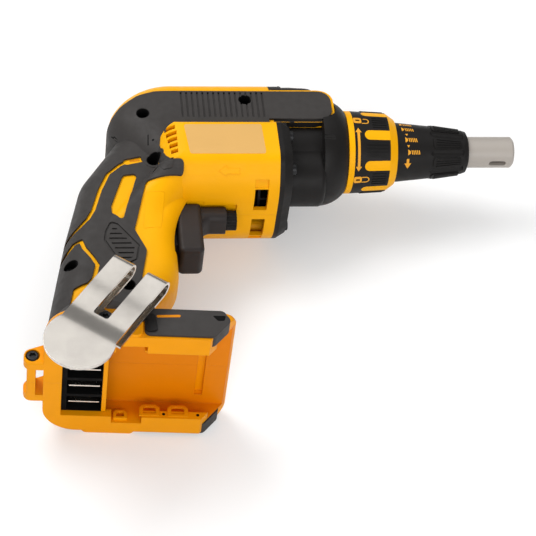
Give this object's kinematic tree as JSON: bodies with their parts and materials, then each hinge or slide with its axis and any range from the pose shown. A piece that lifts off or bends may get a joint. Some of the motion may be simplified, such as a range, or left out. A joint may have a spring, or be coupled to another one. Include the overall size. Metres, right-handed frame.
{
  "type": "cordless drywall screwdriver",
  "caption": "Pistol-grip cordless drywall screwdriver with an adjustable depth collar, a twist-lock nose, a motor pod below the spindle, a belt clip and an empty battery foot.",
  "frame": {"origin": "centre of the nosepiece mouth, on the spindle axis", "axes": "+X along the spindle and out of the nose, +Y to the top of the tool, +Z to its right side, which is up while the tool lies on its left side"},
  "size_m": [0.2694, 0.2166, 0.0891],
  "materials": {
    "yellow_plastic": "moulded, satin",
    "black_plastic": "moulded, fine texture",
    "grip_rubber": "soft overmould, matte",
    "nose_plastic": "moulded, satin",
    "plated_steel": "nickel plate, brushed",
    "dark_steel": "black oxide",
    "bright_steel": "ground",
    "copper_alloy": "bare",
    "laminated_steel": "stacked sheet",
    "circuit_board": "coated",
    "sintered_bronze": "oiled"
  },
  "bodies": {
    "tool_body": {"motor_front_bearing": "bright_steel", "motor_rear_bearing": "bright_steel", "motor_stator": "laminated_steel", "sensor_board": "circuit_board", "spindle_bearing": "bright_steel", "spindle_bush": "sintered_bronze", "gear_plate": "bright_steel", "right_housing": "yellow_plastic", "left_housing": "yellow_plastic", "gear_case": "black_plastic", "right_grip": "grip_rubber", "left_grip": "grip_rubber", "right_foot_panel": "black_plastic", "left_foot_panel": "black_plastic", "terminal_block": "black_plastic", "terminal_blades": "copper_alloy", "trigger_switch": "black_plastic", "control_module": "circuit_board", "housing_screws": "dark_steel", "case_screws": "plated_steel", "clip_screw": "dark_steel", "belt_clip": "plated_steel"},
    "lock_ring": {"lock_ring_core": "yellow_plastic", "lock_ring_grip": "grip_rubber"},
    "nose": {"nose_sleeve": "black_plastic"},
    "depth_collar": {"depth_collar": "black_plastic"},
    "nosepiece": {"nosepiece": "nose_plastic"},
    "drive_gear": {"drive_gear": "bright_steel", "clutch_spring": "bright_steel"},
    "spindle": {"spindle": "bright_steel", "bit_holder": "bright_steel", "bit_magnet": "bright_steel", "bit_ring": "bright_steel"},
    "rotor": {"motor_shaft": "bright_steel", "motor_pinion": "bright_steel", "motor_rotor": "laminated_steel", "motor_fan": "black_plastic"},
    "trigger": {"trigger": "black_plastic"},
    "direction_selector": {"direction_selector": "black_plastic"},
    "lock_on_button": {"lock_on_button": "black_plastic"}
  },
  "joints": [
    {"name": "trigger_pull", "type": "slide", "parent": "tool_body", "child": "trigger", "axis": [-1, 0, 0], "range_m": [0, 0.006], "stiffness_N_per_m": 1500, "springref_m": -0.003},
    {"name": "selector_turn", "type": "hinge", "parent": "trigger", "child": "direction_selector", "pos_m": [-0.16, -0.049, 0], "axis": [1, 0, 0], "range_deg": [-25, 25]},
    {"name": "lock_on_press", "type": "slide", "parent": "tool_body", "child": "lock_on_button", "axis": [0, 0, 1], "range_m": [0, 0.002], "stiffness_N_per_m": 1500, "springref_m": -0.002},
    {"name": "lock_ring_turn", "type": "hinge", "parent": "tool_body", "child": "lock_ring", "pos_m": [-0.078, 0, 0], "axis": [1, 0, 0], "range_deg": [0, 30]},
    {"name": "nose_release", "type": "slide", "parent": "tool_body", "child": "nose", "axis": [1, 0, 0], "range_m": [0, 0.075]},
    {"name": "depth_turn", "type": "hinge", "parent": "nose", "child": "depth_collar", "pos_m": [-0.045, 0, 0], "axis": [1, 0, 0], "range_deg": [-360, 360]},
    {"name": "nosepiece_slide", "type": "slide", "parent": "nose", "child": "nosepiece", "axis": [1, 0, 0], "range_m": [-0.004, 0.004]},
    {"name": "rotor_spin", "type": "hinge", "parent": "tool_body", "child": "rotor", "pos_m": [-0.15, -0.018, 0], "axis": [1, 0, 0], "continuous": true},
    {"name": "gear_spin", "type": "hinge", "parent": "tool_body", "child": "drive_gear", "pos_m": [-0.126, 0, 0], "axis": [1, 0, 0], "continuous": true},
    {"name": "spindle_push", "type": "slide", "parent": "drive_gear", "child": "spindle", "axis": [-1, 0, 0], "range_m": [0, 0.003], "stiffness_N_per_m": 2000, "springref_m": -0.002, "deforming": ["clutch_spring"]}
  ],
  "couplings": [
    {"joint": "gear_spin", "follows": "rotor_spin", "ratio": -0.28571},
    {"joint": "nosepiece_slide", "follows": "depth_turn", "m_per_rad": 0.000636}
  ]
}
